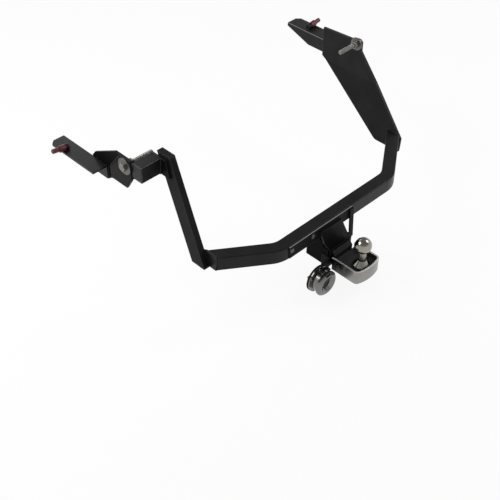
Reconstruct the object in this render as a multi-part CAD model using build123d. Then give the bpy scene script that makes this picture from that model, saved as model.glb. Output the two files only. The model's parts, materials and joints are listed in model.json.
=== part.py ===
from build123d import *
import math
import os

# A tow hitch for the back of a car: a bent cross bar with an upright and an outrigger on the left and a
# wide folded plate on the right, an angle bracket with a capped stud on each side, and in the middle a
# receiver that holds the drawbar, the tongue, the 50 mm coupling ball and a round trailer socket.
# Millimetres. X points to the car's right, Y forward to the car, Z up. The model is drawn from the middle
# of the bar's top face and moved at the end, so that the origin is the centre of the coupling ball.

# Cross bar: a square-cornered tube, straight in the middle, with both ends swept forward
bar_depth = 40.0
bar_height = 45.0
bar_wall = 4.0
bar_corner_reach = 233.0      # from the middle to where the straight and a swept end would meet
bar_sweep = 35.0              # degrees
bar_bend_radius = 70.0
bar_edge_radius = 3.0

# Left upright: a flat tube that leans forward and inboard
upright_depth = 50.0          # along Y, on the level
upright_thickness = 20.0      # along X, on the level
upright_wall = 3.0
upright_foot_in = 48.0        # its outboard face at the foot, inboard of the side plane
upright_foot_y = 135.0        # middle of the foot
upright_lean_in = 25.0
upright_lean_forward = 150.0
upright_rise = 240.0          # top above the bar's top face

# Left outrigger: a tube from the upright out to the bolted plates
outrigger_depth = 38.0
outrigger_height = 48.0
outrigger_wall = 3.0
outrigger_top = 229.0
outrigger_front_y = 325.0
saddle_thickness = 6.0
saddle_rear_y = 250.0
saddle_rear_rise = 18.0       # how far its rear edge leans forward
cap_thickness = 3.0

# Side planes: the outboard face of the joint plates is the plane that both brackets lie on
side_x = 458.0
plate_thickness = 6.0

# Angle brackets, the same on both sides; the right one sits a little higher
bracket_length = 199.0
bracket_lap = 33.0            # how far the right bracket runs back over the side plate
bracket_top_left = 163.0
bracket_top_right = 170.0
bracket_width = 52.0
bracket_web_height = 45.0
bracket_nose_height = 11.0
bracket_nose_length = 95.0
bracket_corner_cut = 13.0
bracket_fold_radius = 5.0

# Left joint plate, behind the outer plate and the bracket's web
joint_plate_lap = 68.0        # how far it runs forward inside the left bracket
joint_plate_shoulder_y = 397.0
joint_plate_nose_rise = 15.0
joint_plate_nose_slope = 12.0
joint_plate_rear_drop = 56.0  # below the outrigger's top, where its lower edge starts

# Left outer plate, under the big washer
outer_plate_front_y = 418.0
outer_plate_rear_gap = 3.0    # in front of the outrigger's front face
outer_plate_base_y = 350.0
outer_plate_top = 234.0
outer_plate_bottom = 134.0
outer_plate_corner_rise = 34.0
outer_plate_front_top = 176.0
outer_plate_shoulder_y = 370.0
outer_plate_to_bracket = 19.0  # from its front edge forward to the left bracket

# Right side plate: upright above its fold, leaning inboard below it
side_plate_thickness = 8.0
side_plate_fold_z = 110.0
side_plate_lean = 50.0
side_plate_top_rear_z = 228.0
side_plate_top_front_z = 219.0
side_plate_top_rear_y = 311.0
side_plate_rear_drop = 32.0   # upright part of its rear edge
side_plate_front_y = 470.0
side_plate_knee_z = 119.0
side_plate_fold_rear_y = 239.0
side_plate_foot_front_y = 188.0
side_plate_foot_rear_y = 91.0
side_plate_foot_drop = 5.0    # below the bar's under side
side_plate_heel_y = 96.0
side_plate_heel_z = -12.0
side_plate_corner = 35.0

# Long bolts through the side planes
bolt_y_left = 350.0
bolt_y_right = 330.0
bolt_z_left = 208.0
bolt_z_right = 217.0
bolt_radius = 7.0
bolt_tip_in = 88.0            # its end, inboard of the side plane
bolt_head_across = 22.0
bolt_head_height = 9.0
nut_height = 11.0
big_washer_radius_left = 25.0
big_washer_radius_right = 21.0
big_washer_thickness = 3.5
lock_washer_radius = 12.0
lock_washer_thickness = 3.0
bolt_clearance = 0.5
washer_clearance = 0.25

# Studs that point outboard over the brackets' top flanges, with red caps
stud_from_rear_left = 141.0   # forward of the bracket's rear end
stud_from_rear_right = 124.0
stud_out_left = 30.0          # its root, outboard of the side plane
stud_out_right = 20.0
stud_radius = 5.0
stud_length = 50.0
stud_tilt = 8.0               # degrees up
ferrule_radius = 9.0
ferrule_length = 12.0
collar_radius = 10.0
collar_length = 18.0
stud_cap_radius = 7.0
stud_cap_end = 3.0
stud_cap_edge = 2.4

# Receiver under the bar: a flat tube between two side gussets, hung on a forked drop plate
receiver_width = 92.0
receiver_height = 61.0
receiver_wall = 8.0
receiver_bottom = 174.0       # below the bar's top face
receiver_front_y = 58.0
gusset_thickness = 6.0
gusset_front_z = -95.0
gusset_seat_rear_y = 8.0      # where its arm meets the bar's under side
gusset_throat = (13.0, -83.0)
gusset_throat_foot_y = -8.0
backing_thickness = 3.0
backing_left_x = 214.0
backing_right_x = 46.0
backing_edge = 3.0            # strip of the bar left bare above and below the backing plate
backing_screw_x = (208.0, 124.0)
backing_screw_radius = 4.0
backing_screw_head = 13.0
backing_screw_head_height = 5.5
backing_screw_drop = 13.4     # below the bar's top face
drop_plate_thickness = 6.0
drop_plate_top = 18.0
drop_plate_left_top_x = 92.0
drop_plate_left_knee = (74.0, 72.0)
drop_plate_right_top_x = 6.0
drop_plate_notch_depth = 96.0
drop_plate_notch_foot_x = 26.0
strut_width = 14.0
strut_lean = 6.0
strut_top = 6.0

# Drawbar, tongue and ball
ball_setback = 110.0          # behind the bar's middle
ball_drop = 71.0              # ball centre below the bar's top face
ball_radius = 25.0
ball_neck_radius = 12.5
ball_neck_drop = 53.0         # where the neck meets the collar's slope, below the ball's centre
ball_collar_radius = 25.0
ball_collar_slope = 16.0
ball_flat_rise = 24.0         # flat top above the ball's centre
ball_shank_radius = 11.0
tongue_drop = 59.0            # top of the skirt below the ball's centre
tongue_width = 102.0
tongue_height = 44.0
tongue_front_y = -42.0
tongue_nose = 35.0            # from the ball's axis to the end of the tongue
tongue_nose_radius = 130.0
tongue_corner_radius = 14.0
tongue_wall = 5.0
tongue_recess = 18.0          # the plate's top below the skirt's lip
tongue_plate_thickness = 5.0
tail_thickness = 18.0
shoulder_slope_drop = 10.0    # how far the drawbar slopes down behind the receiver's mouth
drawbar_lip = 2.0             # level part before the slope
fit_gap = 0.3
ball_washer_radius = 20.0
ball_washer_thickness = 5.0
ball_nut_across = 32.0
ball_nut_height = 17.0
ball_thread_end = 5.0
retainer_radius = 6.0
retainer_head = 18.0
retainer_head_height = 8.0
retainer_depth = 12.0         # into the drawbar
retainer_spare = 3.0          # its hole runs on past the screw
retainer_y = (5.0, 38.0)

# Round trailer socket on a hanger plate at the left of the receiver
socket_x = 101.0
socket_z = 182.0              # below the bar's top face
hanger_y = -33.0              # rear face of the hanger plate
hanger_thickness = 4.0
hanger_neck_low_z = 178.0
hanger_neck_top_z = 135.0
hanger_neck_left_x = 72.0
hanger_tab_length = 28.0
hanger_rim = 1.0
gasket_thickness = 2.0
socket_flange_radius = 42.0
socket_flange_thickness = 4.0
socket_barrel_radius = 33.0   # at the flange
socket_mouth_radius = 37.0
socket_depth = 25.0
socket_bore_radius = 28.0
socket_base_wall = 2.0
insert_clearance = 0.3
insert_length = 9.0
pin_radius = 2.5
pin_length = 15.0
pin_ring_radius = 16.0
pin_ring_count = 6
screw_ring_radius = 38.0
screw_count = 3
screw_radius = 2.5
screw_head_radius = 3.5
screw_head_height = 3.0
small_nut_across = 8.0
small_nut_height = 4.0
lid_radius = 40.0
lid_rim_depth = 5.0
lid_rim_wall = 3.0
lid_crest_radius = 26.0
lid_crest = 12.0
lid_bulge = 1.5
lid_dish_radius = 15.0
lid_dish_edge = 2.0
lid_dish = 0.5
lid_wall = 2.5
lid_hollow = 2.0
lid_gap = 0.3
seal_thickness = 2.0
seal_margin = 1.0
hinge_pin_radius = 2.0
hinge_rise = 7.5              # hinge axis above the barrel's mouth
saddle_height = 2.0           # hinge bracket's base above the barrel's mouth
saddle_rear = 8.0             # where it starts, behind the gasket
lid_arm_foot = 14.0           # how far the lid's arm runs down from the hinge axis
lid_arm_step = 4.0            # its face above the lid's rim
hinge_lug_width = 6.0
hinge_lug_span = 30.0
hinge_lug_radius = 5.0
hinge_clearance = 0.05
spring_wire_radius = 0.6
spring_radius = 3.3
spring_turns = 3.5
spring_pitch = 1.8
spring_seat_gap = 0.3
gland_radius = 11.0
gland_length = 14.0
gland_bore_radius = 4.0

# Shares of the driving sizes
bar_half = bar_depth / 2
bar_bottom = -bar_height
upright_foot_x = side_x - upright_foot_in
left_bracket_rear_y = outer_plate_front_y + outer_plate_to_bracket
right_bracket_rear_y = side_plate_front_y - bracket_lap
joint_plate_front_y = left_bracket_rear_y + joint_plate_lap
receiver_top = receiver_height - receiver_bottom
side_plate_foot_z = bar_bottom - side_plate_foot_drop
drop_rear = -bar_half - backing_thickness - drop_plate_thickness
drop_front = -bar_half - backing_thickness
tongue_top = -ball_drop - tongue_drop
tongue_rear_y = -ball_setback - tongue_nose
plate_top = tongue_top - tongue_recess
tail_top = plate_top - tongue_plate_thickness
shoulder_y = tongue_front_y + fit_gap


def block(x0, x1, y0, y1, z0, z1):
    """A box between two corners."""
    return Pos((x0 + x1) / 2, (y0 + y1) / 2, (z0 + z1) / 2) * Box(abs(x1 - x0), abs(y1 - y0), abs(z1 - z0))


def leaning_block(x0, x1, y0, y1, z0, z1, lean_x, lean_y):
    """A box whose level sections slide by lean_x and lean_y for each millimetre of height."""
    foot = Pos((x0 + x1) / 2, (y0 + y1) / 2, z0) * Rectangle(abs(x1 - x0), abs(y1 - y0))
    way = Vector(lean_x, lean_y, 1)
    return extrude(foot, amount=(z1 - z0) * way.length, dir=way.normalized())


def side_prism(points, x0, x1):
    """An outline of (y, z) points, run along X from x0 to x1."""
    face = make_face(Polyline(*[(x0, y, z) for y, z in points], close=True))
    return extrude(face, amount=x1 - x0, dir=(1, 0, 0))


def cross_prism(points, y0, y1):
    """An outline of (x, z) points, run along Y from y0 to y1."""
    face = make_face(Polyline(*[(x, y0, z) for x, z in points], close=True))
    return extrude(face, amount=y1 - y0, dir=(0, 1, 0))


def rod_x(x0, x1, y, z, radius):
    """A round bar along X."""
    return Pos((x0 + x1) / 2, y, z) * Rot(0, 90, 0) * Cylinder(radius, abs(x1 - x0))


def rod_y(x, y0, y1, z, radius):
    """A round bar along Y."""
    return Pos(x, (y0 + y1) / 2, z) * Rot(90, 0, 0) * Cylinder(radius, abs(y1 - y0))


def rod_z(x, y, z0, z1, radius):
    """A round bar along Z."""
    return Pos(x, y, (z0 + z1) / 2) * Cylinder(radius, abs(z1 - z0))


def hexagon(across, height):
    """A hexagonal prism on the origin, with its top and bottom edges turned round."""
    corner = across / math.sqrt(3)
    body = extrude(RegularPolygon(corner, 6), amount=height)
    crown = Pos(0, 0, height / 2) * Cylinder(corner, height)
    crown = chamfer(crown.edges().filter_by(GeomType.CIRCLE), across / 20)
    return body & crown


def ring(outer, inner, height):
    """A flat ring on the origin."""
    return Pos(0, 0, height / 2) * (Cylinder(outer, height) - Cylinder(inner, height))


def along_x(part, x, y, z, way):
    """Turn a part that stands on the origin so that it points along way * X, with its foot at x, y, z."""
    return Pos(x, y, z) * Rot(0, 90 * way, 0) * part


def along_y(part, x, y, z, way):
    """The same along way * Y."""
    return Pos(x, y, z) * Rot(-90 * way, 0, 0) * part


def mirrored(part):
    """The part's twin on the other side of the car's middle plane."""
    return mirror(part, about=Plane.YZ)


def upright_lean():
    """How far the upright leans along X and Y for each millimetre of height."""
    height = upright_rise - bar_bottom
    return upright_lean_in / height, upright_lean_forward / height


def upright_block(inset, z0, z1):
    """The upright's form between two heights, shrunk by inset."""
    lean_x, lean_y = upright_lean()
    dx = lean_x * (z0 - bar_bottom)
    dy = lean_y * (z0 - bar_bottom)
    x0 = -upright_foot_x + inset + dx
    x1 = -upright_foot_x + upright_thickness - inset + dx
    half = upright_depth / 2 - inset
    return leaning_block(x0, x1, upright_foot_y - half + dy, upright_foot_y + half + dy, z0, z1, lean_x, lean_y)


def side_plate_slope():
    """How far the right side plate leans inboard for each millimetre below its fold."""
    return side_plate_lean / (side_plate_fold_z - side_plate_foot_z)


def side_plate_inner_x(z):
    """Inboard face of the right side plate at a height."""
    upper = side_x - side_plate_thickness
    if z >= side_plate_fold_z:
        return upper
    return upper - side_plate_slope() * (side_plate_fold_z - z)


def make_cross_bar():
    """The bent tube, trimmed to the upright on the left and to the side plate on the right."""
    end_x = upright_foot_x + 2 * bar_depth
    end_y = (end_x - bar_corner_reach) * math.tan(math.radians(bar_sweep))
    middle = bar_bottom / 2
    corners = [(-end_x, end_y, middle), (-bar_corner_reach, 0, middle), (bar_corner_reach, 0, middle),
               (end_x, end_y, middle)]
    path = FilletPolyline(*corners, radius=bar_bend_radius)
    start = Plane(origin=path @ 0, x_dir=(0, 0, 1), z_dir=path % 0)
    outer = start * RectangleRounded(bar_height, bar_depth, bar_edge_radius)
    inner = start * Rectangle(bar_height - 2 * bar_wall, bar_depth - 2 * bar_wall)
    bar = sweep(outer, path=path) - sweep(inner, path=path)
    lean_x, _ = upright_lean()
    far = 2 * end_x
    low = bar_bottom - bar_height
    left_x = -upright_foot_x + upright_thickness + cap_thickness + lean_x * (low - bar_bottom)
    left = leaning_block(left_x - far, left_x, -far, far, low, bar_height, lean_x, 0)
    right_x = side_plate_inner_x(low)
    right = leaning_block(right_x, right_x + far, -far, far, low, bar_height, side_plate_slope(), 0)
    return bar - left - right


def make_bar_end_cap():
    """The leaning plate that closes the bar's left end and meets the upright."""
    lean_x, _ = upright_lean()
    x0 = -upright_foot_x + upright_thickness
    middle_y = (-x0 - bar_corner_reach) * math.tan(math.radians(bar_sweep))
    half = bar_half / math.cos(math.radians(bar_sweep))
    y0, y1 = middle_y - half, middle_y + half
    return leaning_block(x0, x0 + cap_thickness, y0, y1, bar_bottom, 0, lean_x, 0)


def make_upright():
    """The leaning tube, open at both ends for its caps."""
    z0 = bar_bottom + cap_thickness
    z1 = upright_rise - cap_thickness
    return upright_block(0, z0, z1) - upright_block(upright_wall, z0, z1)


def make_upright_caps():
    """Plates that close the upright's foot and top."""
    foot = upright_block(0, bar_bottom, bar_bottom + cap_thickness)
    top = upright_block(0, upright_rise - cap_thickness, upright_rise)
    return [foot, top]


def saddle_plane(grow):
    """A leaning slab on the upright's outboard face; grow is its thickness."""
    lean_x, _ = upright_lean()
    z0 = outrigger_top - outrigger_height
    inner = -upright_foot_x + lean_x * (z0 - bar_bottom)
    far = 2 * upright_foot_x
    return leaning_block(inner - grow, inner, -far, far, z0, outrigger_top, lean_x, 0)


def make_saddle():
    """The plate that carries the outrigger on the upright's outboard face."""
    z0 = outrigger_top - outrigger_height
    outline = [(saddle_rear_y, z0), (outrigger_front_y, z0), (outrigger_front_y, outrigger_top),
               (saddle_rear_y + saddle_rear_rise, outrigger_top)]
    return saddle_plane(saddle_thickness) & side_prism(outline, -upright_foot_x - outrigger_height, 0)


def make_outrigger():
    """The level tube from the saddle plate out to the side plane."""
    w = outrigger_wall
    y0 = outrigger_front_y - outrigger_depth
    z0 = outrigger_top - outrigger_height
    x1 = -upright_foot_x + upright_lean_in
    tube = block(-side_x, x1, y0, outrigger_front_y, z0, outrigger_top)
    tube -= block(-side_x, x1, y0 + w, outrigger_front_y - w, z0 + w, outrigger_top - w)
    lean_x, _ = upright_lean()
    inner = -upright_foot_x + lean_x * (z0 - bar_bottom) - saddle_thickness
    far = 2 * upright_foot_x
    return tube - leaning_block(inner, inner + far, -far, far, z0, outrigger_top, lean_x, 0)


def make_outrigger_cap():
    """The plate that closes the outrigger's outboard end."""
    y0 = outrigger_front_y - outrigger_depth
    z0 = outrigger_top - outrigger_height
    return block(-side_x - cap_thickness, -side_x, y0, outrigger_front_y, z0, outrigger_top)


def bolt_place(side):
    """Y and Z of the long bolt on the left (-1) or the right (1)."""
    if side < 0:
        return bolt_y_left, bolt_z_left
    return bolt_y_right, bolt_z_right


def bolt_hole(side):
    """The long bolt's clearance hole through the plates of one side."""
    reach = 3 * side_plate_thickness
    radius = bolt_radius + bolt_clearance
    return rod_x(side * (side_x - reach), side * (side_x + reach), *bolt_place(side), radius)


def make_joint_plate():
    """The plate that joins the outrigger to the left bracket, tapering forward."""
    web_bottom = bracket_top_left - bracket_web_height
    outline = [(outrigger_front_y, outrigger_top - joint_plate_rear_drop),
               (outrigger_front_y, outrigger_top),
               (joint_plate_shoulder_y, outrigger_top),
               (joint_plate_front_y - joint_plate_nose_slope, bracket_top_left + joint_plate_nose_rise),
               (joint_plate_front_y, bracket_top_left),
               (joint_plate_front_y, web_bottom),
               (left_bracket_rear_y, web_bottom)]
    plate = side_prism(outline, -side_x, -side_x + plate_thickness)
    return plate - bolt_hole(-1)


def make_outer_plate():
    """The chamfered plate under the big washer, outboard of the joint plate."""
    rear_y = outrigger_front_y + outer_plate_rear_gap
    outline = [(outer_plate_base_y, outer_plate_bottom),
               (outer_plate_front_y, outer_plate_bottom),
               (outer_plate_front_y, outer_plate_front_top),
               (outer_plate_shoulder_y, outer_plate_top),
               (rear_y, outer_plate_top),
               (rear_y, outer_plate_bottom + outer_plate_corner_rise)]
    plate = side_prism(outline, -side_x - plate_thickness, -side_x)
    return plate - bolt_hole(-1)


def flange_top(side):
    """Height of the bracket's top face on the left (-1) or the right (1)."""
    return bracket_top_left if side < 0 else bracket_top_right


def bracket_rear(side):
    """Y of the bracket's rear end on the left (-1) or the right (1)."""
    return left_bracket_rear_y if side < 0 else right_bracket_rear_y


def make_bracket(side):
    """One side's angle bracket, drawn on the right: a level flange outboard of a web that tapers to the front."""
    x0, x1 = side_x, side_x + bracket_width
    top = flange_top(side)
    rear_y = bracket_rear(side)
    front_y = rear_y + bracket_length
    t = plate_thickness
    flange = block(x0, x1, rear_y, front_y, top - t, top)
    corners = flange.edges().filter_by(Axis.Z).group_by(Axis.Y)[-1]
    flange = chamfer(corners.sort_by(Axis.X)[-1], bracket_corner_cut)
    web_bottom = top - bracket_web_height
    web = side_prism([(rear_y, top - t / 2), (rear_y, web_bottom),
                      (front_y - bracket_nose_length, web_bottom),
                      (front_y, top - bracket_nose_height),
                      (front_y, top - t / 2)], x0, x0 + t)
    bracket = flange + web
    fold = bracket.edges().filter_by(Axis.Y).group_by(Axis.Z)[-1].sort_by(Axis.X)[0]
    return fillet(fold, bracket_fold_radius)


def make_side_plate():
    """The wide plate on the right: a folded sheet cut to its outline."""
    t = side_plate_thickness
    inner = side_plate_inner_x(side_plate_foot_z)
    y1 = side_plate_front_y
    foot_z = side_plate_foot_z
    lower = leaning_block(inner, inner + t, 0, y1, foot_z, side_plate_fold_z, side_plate_slope(), 0)
    upper = block(side_x - t, side_x, 0, y1, side_plate_fold_z, side_plate_top_rear_z)
    outline = [(side_plate_foot_rear_y, foot_z), (side_plate_foot_front_y, foot_z),
               (y1, side_plate_knee_z), (y1, side_plate_top_front_z),
               (side_plate_top_rear_y, side_plate_top_rear_z),
               (side_plate_top_rear_y, side_plate_top_rear_z - side_plate_rear_drop),
               (side_plate_fold_rear_y, side_plate_fold_z), (side_plate_heel_y, side_plate_heel_z)]
    cutter = side_prism(outline, inner - t, side_x + t)
    corner = Vector(inner, side_plate_foot_front_y, foot_z)
    edges = cutter.edges().filter_by(Axis.X)
    foot_edge = edges.sort_by(lambda e: (e.center() - corner).cross(Vector(1, 0, 0)).length)[0]
    cutter = fillet(foot_edge, side_plate_corner)
    return ((lower + upper) & cutter) - bolt_hole(1)


def bolt_stack(side):
    """X of each face in a long bolt's stack, from the head inboard."""
    if side < 0:
        seat = side_x + plate_thickness + big_washer_thickness
        inner = side_x - plate_thickness
    else:
        seat = side_x
        inner = side_x - side_plate_thickness - big_washer_thickness
    return seat, inner


def make_long_bolt(side):
    """A hexagon bolt that points inboard."""
    seat, _ = bolt_stack(side)
    head = along_x(hexagon(bolt_head_across, bolt_head_height), side * seat, *bolt_place(side), side)
    shank = rod_x(side * (side_x - bolt_tip_in), side * seat, *bolt_place(side), bolt_radius)
    return head + shank


def make_big_washer(side):
    """The big washer: outboard under the head on the left, inboard under the nut on the right."""
    if side < 0:
        radius = big_washer_radius_left
        foot = side_x + plate_thickness
    else:
        radius = big_washer_radius_right
        foot = side_x - side_plate_thickness - big_washer_thickness
    washer = ring(radius, bolt_radius + washer_clearance, big_washer_thickness)
    return along_x(washer, side * foot, *bolt_place(side), side)


def make_lock_washer(side):
    """The lock washer under the nut."""
    _, inner = bolt_stack(side)
    washer = ring(lock_washer_radius, bolt_radius + washer_clearance, lock_washer_thickness)
    return along_x(washer, side * (inner - lock_washer_thickness), *bolt_place(side), side)


def make_long_nut(side):
    """The nut inboard of the side plane."""
    _, inner = bolt_stack(side)
    nut = hexagon(bolt_head_across, nut_height) - Cylinder(bolt_radius, 4 * nut_height)
    return along_x(nut, side * (inner - lock_washer_thickness - nut_height), *bolt_place(side), side)


def on_flange(side, part):
    """Set a part that stands on the origin along a side's stud, and keep what lies above the flange."""
    x = side * (side_x + (stud_out_left if side < 0 else stud_out_right))
    y = bracket_rear(side) + (stud_from_rear_left if side < 0 else stud_from_rear_right)
    top = flange_top(side)
    placed = Pos(x, y, top + ferrule_radius / 2) * Rot(0, side * (90 - stud_tilt), 0) * part
    reach = 2 * stud_length
    return placed & (Pos(x, y, top + reach / 2) * Box(2 * reach, reach, reach))


def make_stud(side):
    """The threaded stud."""
    return on_flange(side, Pos(0, 0, stud_length / 2) * Cylinder(stud_radius, stud_length))


def make_ferrule(side):
    """The sleeve that holds the stud on the flange."""
    return on_flange(side, ring(ferrule_radius, stud_radius, ferrule_length))


def make_stud_collar(side):
    """The red sleeve at the stud's root."""
    return on_flange(side, Pos(0, 0, ferrule_length) * ring(collar_radius, stud_radius, collar_length))


def make_stud_cap(side):
    """The red cap over the stud's end."""
    foot = ferrule_length + collar_length
    bore = stud_length - foot
    cap = Pos(0, 0, (bore + stud_cap_end) / 2) * Cylinder(stud_cap_radius, bore + stud_cap_end)
    cap = fillet(cap.edges().filter_by(GeomType.CIRCLE).sort_by(Axis.Z)[-1], stud_cap_edge)
    cap -= Pos(0, 0, bore / 2) * Cylinder(stud_radius, bore)
    return on_flange(side, Pos(0, 0, foot) * cap)


def make_backing_plate():
    """The thin dark plate on the bar's rear face."""
    z0, z1 = bar_bottom + backing_edge, -backing_edge
    plate = block(-backing_left_x, backing_right_x, drop_front, -bar_half, z0, z1)
    for x in backing_screw_x:
        plate -= rod_y(-x, drop_front - 1, 0, -backing_screw_drop, backing_screw_radius)
    return plate


def make_backing_screws():
    """Hexagon screws through the backing plate into the bar."""
    z = -backing_screw_drop
    screws = []
    for x in backing_screw_x:
        head = along_y(hexagon(backing_screw_head, backing_screw_head_height), -x, drop_front, z, -1)
        screws.append(head + rod_y(-x, drop_front, -bar_half, z, backing_screw_radius))
    return screws


def make_drop_plate():
    """The forked plate that carries the receiver: a wide slanted prong and a narrow strut."""
    half = receiver_width / 2
    foot_x = half + gusset_thickness
    notch = -drop_plate_notch_depth
    knee_x, knee_drop = drop_plate_left_knee
    outline = [(-half, receiver_top), (foot_x, receiver_top), (foot_x - strut_lean, -strut_top),
               (foot_x - strut_lean - strut_width, -strut_top), (foot_x - strut_width, notch),
               (drop_plate_notch_foot_x, notch), (-drop_plate_right_top_x, -drop_plate_top),
               (-drop_plate_left_top_x, -drop_plate_top), (-knee_x, -knee_drop)]
    return cross_prism(outline, drop_rear, drop_front)


def make_receiver():
    """The flat tube that the drawbar slides into."""
    half = receiver_width / 2
    w = receiver_wall
    tube = block(-half, half, drop_rear, receiver_front_y, -receiver_bottom, receiver_top)
    tube -= block(-half + w, half - w, drop_rear, receiver_front_y, -receiver_bottom + w, receiver_top - w)
    for y in retainer_y:
        tube -= rod_z(0, y, -receiver_bottom, -receiver_bottom + w, retainer_radius + fit_gap)
    return tube


def make_gusset():
    """The right side gusset, from the receiver's side up to the bar's front lower edge."""
    half = receiver_width / 2
    outline = [(drop_front, -receiver_bottom), (receiver_front_y, -receiver_bottom),
               (receiver_front_y, gusset_front_z), (bar_half, bar_bottom), (gusset_seat_rear_y, bar_bottom),
               gusset_throat, (gusset_throat_foot_y, receiver_top), (drop_front, receiver_top)]
    return side_prism(outline, half, half + gusset_thickness)


def tongue_outline(inset):
    """The tongue's outline as a face on the ground plane: straight sides and a broad round nose."""
    half = tongue_width / 2 - inset
    nose_y = tongue_rear_y + inset
    radius = tongue_nose_radius - inset
    disc = Pos(0, nose_y + radius) * Circle(radius)
    strip = Pos(0, (nose_y + tongue_front_y) / 2) * Rectangle(2 * half, tongue_front_y - nose_y)
    form = (disc & strip).face()
    rear = [v for v in form.vertices() if v.Y < tongue_front_y - tongue_corner_radius]
    return fillet(rear, tongue_corner_radius - inset)


def tongue_body(inset, z0, z1):
    """The tongue's form between two heights, shrunk by inset."""
    return extrude(Pos(0, 0, z0) * tongue_outline(inset), amount=z1 - z0, dir=(0, 0, 1))


def make_tongue_shell():
    """The plated skirt round the tongue, open towards the receiver."""
    z0 = tongue_top - tongue_height
    return tongue_body(0, z0, tongue_top) - tongue_body(tongue_wall, z0, tongue_top)


def tongue_core(z0, z1):
    """What fills the skirt between two heights, up to its open end."""
    return tongue_body(tongue_wall, z0, z1)


def make_tongue_plate():
    """The dark plate sunk in the skirt, clamped by the ball's collar."""
    plate = tongue_core(tail_top, plate_top)
    return plate - rod_z(0, -ball_setback, tail_top - 1, plate_top + 1, ball_shank_radius + fit_gap)


def make_drawbar():
    """The forged bar: a thick shank in the receiver, a sloped shoulder and a thin tail under the tongue."""
    half = receiver_width / 2 - receiver_wall - fit_gap
    top = receiver_top - receiver_wall - fit_gap
    bottom = -receiver_bottom + receiver_wall + fit_gap
    tail_bottom = tail_top - tail_thickness
    mouth = drop_rear - drawbar_lip
    front = receiver_front_y - receiver_wall
    outline = [(front, bottom), (front, top), (mouth, top), (shoulder_y, top - shoulder_slope_drop),
               (shoulder_y, tail_top), (tongue_front_y, tail_top), (tongue_front_y, tail_bottom),
               (mouth, tail_bottom), (mouth, bottom)]
    bar = side_prism(outline, -half, half) + tongue_core(tail_bottom, tail_top)
    bar -= rod_z(0, -ball_setback, tail_bottom - 1, tail_top + 1, ball_shank_radius + fit_gap)
    for y in retainer_y:
        bar -= rod_z(0, y, bottom - 1, bottom + retainer_depth + retainer_spare, retainer_radius)
    return bar


def make_retainers():
    """Screws that hold the drawbar from below."""
    screws = []
    top = -receiver_bottom + receiver_wall + fit_gap + retainer_depth
    for y in retainer_y:
        head = Pos(0, y, -receiver_bottom) * Rot(180, 0, 0) * hexagon(retainer_head, retainer_head_height)
        screws.append(head + rod_z(0, y, -receiver_bottom, top, retainer_radius))
    return screws


def make_ball():
    """The coupling ball with its neck, collar and threaded shank, turned in one piece."""
    z = -ball_drop
    y = -ball_setback
    neck_foot = z - ball_neck_drop
    collar_top = neck_foot - ball_collar_slope
    slope = Pos(0, y, neck_foot - ball_collar_slope / 2)
    ball = Pos(0, y, z) * Sphere(ball_radius)
    ball += rod_z(0, y, neck_foot, z, ball_neck_radius)
    ball += slope * Cone(ball_collar_radius, ball_neck_radius, ball_collar_slope)
    ball += rod_z(0, y, plate_top, collar_top, ball_collar_radius)
    nut_foot = tail_top - tail_thickness - ball_washer_thickness - ball_nut_height
    ball += rod_z(0, y, nut_foot - ball_thread_end, plate_top, ball_shank_radius)
    flat = z + ball_flat_rise
    return ball - block(-ball_radius, ball_radius, y - ball_radius, y + ball_radius, flat, flat + ball_radius)


def make_ball_washer():
    """The lock washer under the tail."""
    z = tail_top - tail_thickness - ball_washer_thickness
    return Pos(0, -ball_setback, z) * ring(ball_washer_radius, ball_shank_radius + fit_gap, ball_washer_thickness)


def make_ball_nut():
    """The nut that holds the ball."""
    z = tail_top - tail_thickness - ball_washer_thickness - ball_nut_height
    nut = hexagon(ball_nut_across, ball_nut_height) - Cylinder(ball_shank_radius, 4 * ball_nut_height)
    return Pos(0, -ball_setback, z) * nut


def socket_frame(y):
    """The socket's axis, with local Z pointing backward from the plane at y."""
    return Pos(-socket_x, y, -socket_z) * Rot(90, 0, 0)


def screw_places():
    """Angles of the socket's screws round its axis, none of them at the hinge on top."""
    return [math.radians(90 + 360 / screw_count * (i + 0.5)) for i in range(screw_count)]


def screw_holes(depth, radius):
    """Cutters for the socket's screws, through depth each way."""
    holes = [Pos(screw_ring_radius * math.cos(a), screw_ring_radius * math.sin(a), 0) * Cylinder(radius, 2 * depth)
             for a in screw_places()]
    return holes


def make_hanger():
    """The plate that carries the socket, welded to the left gusset."""
    x_in = -receiver_width / 2 - gusset_thickness
    y0 = hanger_y
    y1 = hanger_y + hanger_thickness
    disc = rod_y(-socket_x, y0, y1, -socket_z, socket_flange_radius + hanger_rim)
    neck = cross_prism([(x_in - hanger_thickness, -hanger_neck_low_z), (x_in, -receiver_bottom),
                        (x_in, -hanger_neck_top_z), (-hanger_neck_left_x, -hanger_neck_top_z),
                        (-socket_x, -socket_z + socket_barrel_radius), (-socket_x, -socket_z)], y0, y1)
    tab = block(x_in - hanger_thickness, x_in, y0, y0 + hanger_tab_length, -receiver_bottom, -hanger_neck_top_z)
    plate = disc + neck + tab
    plate -= rod_y(-socket_x, y0 - 1, y1 + 1, -socket_z, gland_radius)
    for hole in screw_holes(2 * hanger_thickness, screw_radius + fit_gap):
        plate -= socket_frame(hanger_y) * hole
    return plate


def make_gasket():
    """The rubber ring between the hanger and the socket."""
    gasket = ring(socket_flange_radius, gland_radius, gasket_thickness)
    for hole in screw_holes(2 * gasket_thickness, screw_radius + fit_gap):
        gasket -= hole
    return socket_frame(hanger_y) * gasket


def hinge_height():
    """The hinge axis above the socket's axis."""
    return socket_mouth_radius + hinge_rise


def hinge_out():
    """The hinge axis behind the gasket, level with the lid's rim."""
    return lid_start()


def barrel_cone():
    """The barrel's outside, solid: it widens a little towards its mouth."""
    return Pos(0, 0, socket_depth / 2) * Cone(socket_barrel_radius, socket_mouth_radius, socket_depth)


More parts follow.
